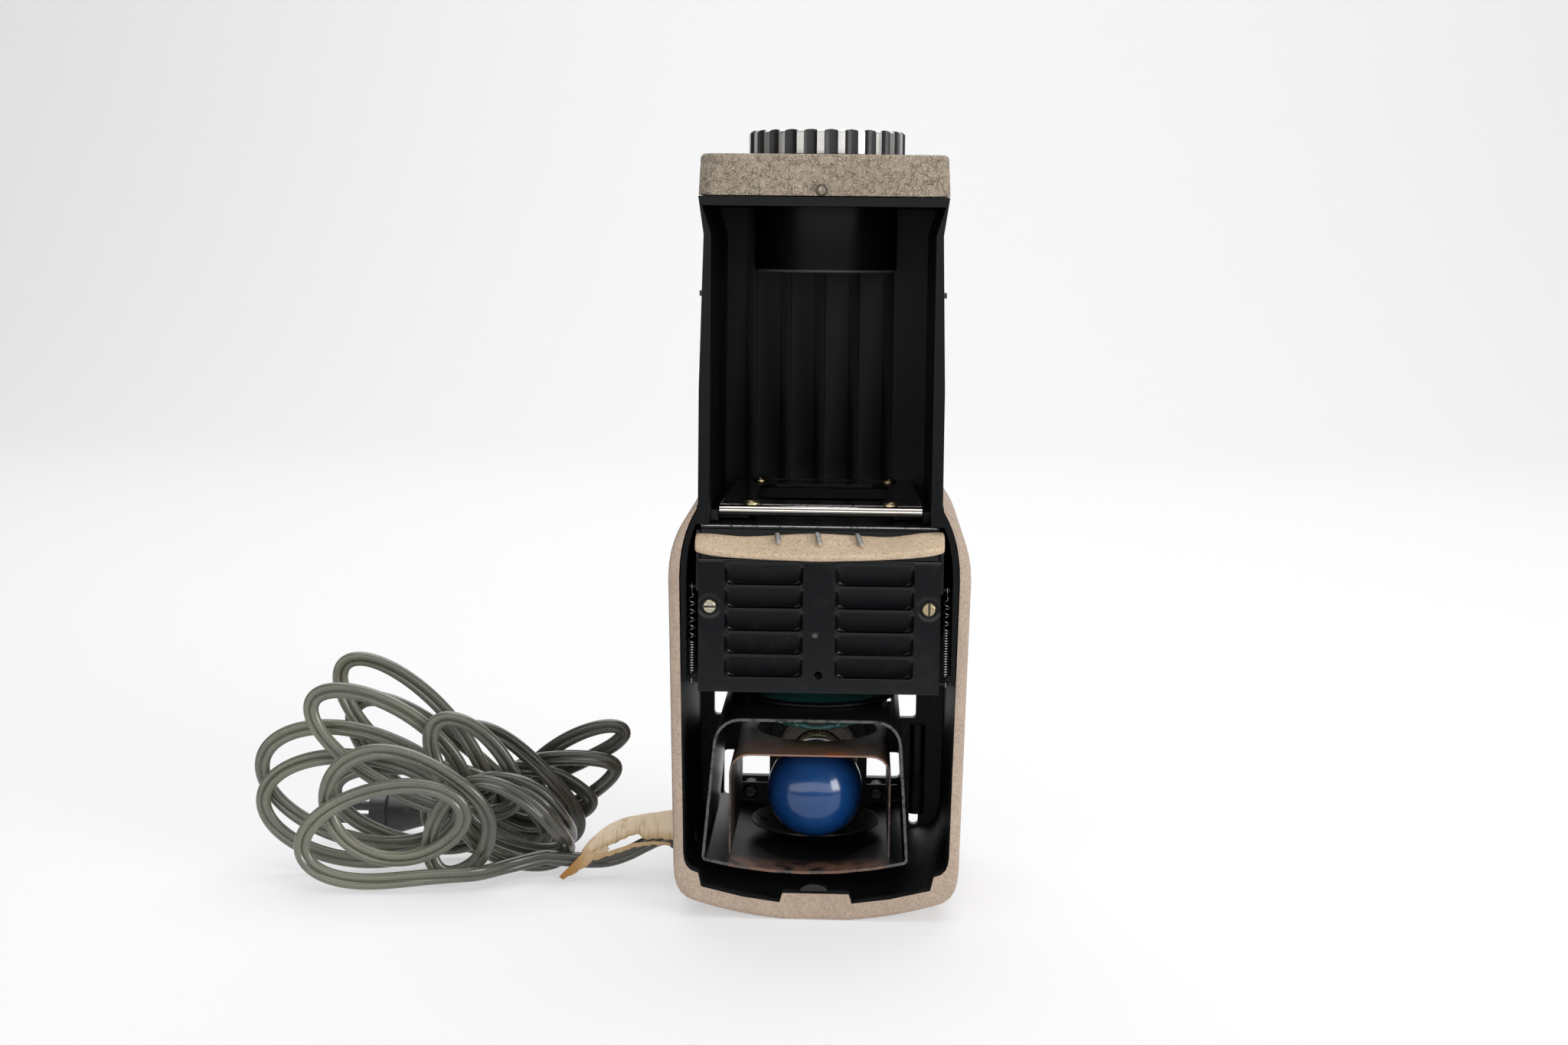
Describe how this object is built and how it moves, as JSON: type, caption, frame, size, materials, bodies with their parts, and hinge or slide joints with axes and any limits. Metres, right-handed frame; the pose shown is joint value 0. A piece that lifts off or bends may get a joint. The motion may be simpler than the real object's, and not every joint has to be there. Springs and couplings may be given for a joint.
{
  "type": "slide projector",
  "caption": "Small slide projector standing on its rear end, covers off: lens bay, sprung slide gate, louvred condenser carriage and open lamp house.",
  "frame": {"origin": "middle of the footprint of the projector's own body, at the level that its rear end stands on; the mains flex and plug aren't counted", "axes": "+Z is the way the picture is thrown (up, as it stands), -Y is the open side that the covers close in use, +Y is the underside with the feet, +X completes a right-handed frame"},
  "size_m": [0.2652, 0.1168, 0.2772],
  "materials": {
    "tan_paint": "crackled tan enamel over moulded plastic",
    "black_moulding": "black moulding, half matt",
    "black_paint": "worn black paint on sheet steel",
    "black_plastic": "smooth black",
    "aluminium": "turned, bare lands between black flutes",
    "bright_steel": "bright, dusty",
    "brass": "dull brass",
    "copper_tint": "bare sheet with brown and violet heat tint",
    "clear_glass": "clear",
    "green_glass": "heat-absorbing, green",
    "blue_glass": "blue coated lamp glass",
    "ceramic": "unglazed",
    "rubber": "matt",
    "flex": "grey-green, half gloss",
    "tape": "old cream tape, torn"
  },
  "bodies": {
    "projector": {"lamp_house_shell": "tan_paint", "bay_chassis": "black_moulding", "front_panel": "tan_paint", "panel_screw": "bright_steel", "lens_sleeve": "black_plastic", "gate_upper_plate": "black_paint", "gate_lip": "bright_steel", "gate_rivet_front_left": "brass", "gate_rivet_front_right": "brass", "gate_rivet_back_left": "brass", "gate_rivet_back_right": "brass", "guide_rail_left": "black_paint", "guide_rail_right": "black_paint", "spring_left": "bright_steel", "spring_right": "bright_steel", "outer_lamp_shield": "black_paint", "inner_lamp_shield": "copper_tint", "rear_condenser_lens": "green_glass", "glass_clip_ring": "black_paint", "lamp_bulb": "blue_glass", "lamp_base": "brass", "lamp_socket": "ceramic", "socket_bracket": "black_paint", "bracket_screw_left": "bright_steel", "bracket_screw_right": "bright_steel", "reflector": "bright_steel", "cover_catch": "bright_steel", "cover_pin_left": "black_paint", "cover_pin_right": "black_paint", "foot_rear_left": "rubber", "foot_rear_right": "rubber", "foot_front_left": "rubber", "foot_front_right": "rubber", "flex_grommet": "rubber", "flex_lead": "flex", "torn_tape": "tape", "flex_tangle": "flex", "mains_plug": "black_plastic"},
    "gate_carriage": {"gate_lower_plate": "black_paint", "carriage_frame": "black_paint", "front_condenser_lens": "clear_glass", "louvred_cover": "black_paint", "cover_screw_left": "brass", "cover_screw_right": "brass", "finger_grip": "tan_paint"},
    "focus_ring": {"focus_ring": "aluminium"},
    "lens_barrel": {"lens_barrel": "black_plastic", "front_lens": "clear_glass", "rear_lens": "clear_glass", "lens_retaining_ring": "black_plastic"}
  },
  "joints": [
    {"name": "gate_pull", "type": "slide", "parent": "projector", "child": "gate_carriage", "axis": [0, 0, -1], "range_m": [0, 0.005], "stiffness_N_per_m": 450, "springref_m": -0.02, "deforming": ["spring_left", "spring_right"]},
    {"name": "focus_turn", "type": "hinge", "parent": "projector", "child": "focus_ring", "pos_m": [0, 0.003, 0.272], "axis": [0, 0, 1], "range_deg": [0, 270]},
    {"name": "barrel_slide", "type": "slide", "parent": "projector", "child": "lens_barrel", "axis": [0, 0, 1], "range_m": [0, 0.012]}
  ],
  "couplings": [
    {"joint": "barrel_slide", "follows": "focus_turn", "m_per_rad": 0.002546}
  ]
}
